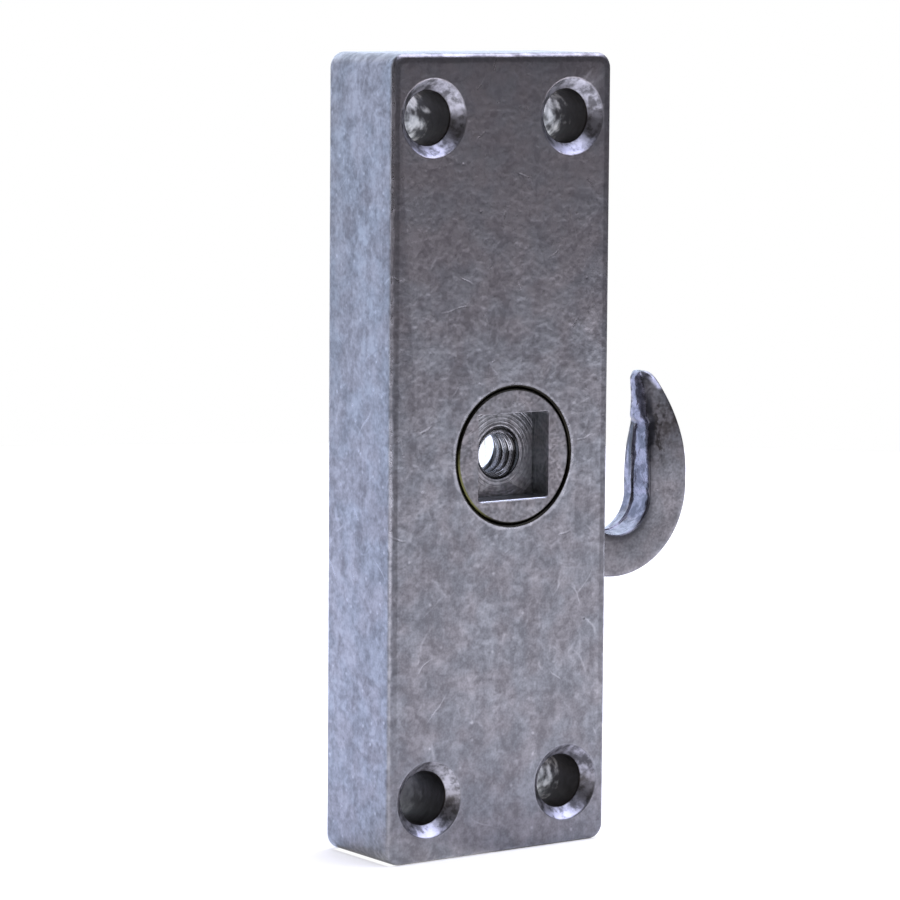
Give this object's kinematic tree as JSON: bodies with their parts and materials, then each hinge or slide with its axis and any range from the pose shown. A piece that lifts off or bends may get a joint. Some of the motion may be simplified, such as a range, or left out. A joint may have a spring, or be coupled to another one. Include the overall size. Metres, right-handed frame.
{
  "type": "sliding screen door latch",
  "caption": "Flat die-cast mortise latch body with a square-socket threaded hub that swings a sprung claw hook out of its side.",
  "frame": {"origin": "on the hub's axis, at the middle of the case's thickness, inside the threaded hole", "axes": "+X towards the edge that the hook comes out of, +Y from the front face to the rear face along the hub's axis, +Z along the case towards the end that the hook's tip points to"},
  "size_m": [0.0376, 0.0104, 0.0762],
  "materials": {
    "case_zinc": "tumbled die-cast zinc, mottled grey",
    "cover_zinc": "tumbled die-cast zinc, mottled grey",
    "hub_zinc": "tumbled die-cast zinc, worn",
    "hook_zinc": "tumbled die-cast zinc, worn bright at the edges",
    "plated_steel": "bright zinc plate",
    "spring_steel": "bare spring wire"
  },
  "bodies": {
    "latch_case": {"case": "case_zinc", "cover_plate": "cover_zinc", "cover_screws": "plated_steel", "return_spring": "spring_steel"},
    "hook_hub": {"hub": "hub_zinc", "hook": "hook_zinc", "front_washer": "plated_steel", "rear_washer": "plated_steel"},
    "follower": {"plunger": "plated_steel"}
  },
  "joints": [
    {"name": "hub_turn", "type": "hinge", "parent": "latch_case", "child": "hook_hub", "pos_m": [0, 0, 0], "axis": [0, 1, 0], "range_deg": [0, 85], "stiffness_Nm_per_rad": 0.0045, "springref_deg": -126.05},
    {"name": "plunger_slide", "type": "slide", "parent": "latch_case", "child": "follower", "axis": [0, 0, 1], "range_m": [0, 0.002], "deforming": ["return_spring"]}
  ],
  "couplings": [
    {"joint": "plunger_slide", "follows": "hub_turn", "m_per_rad": 0.001348}
  ]
}
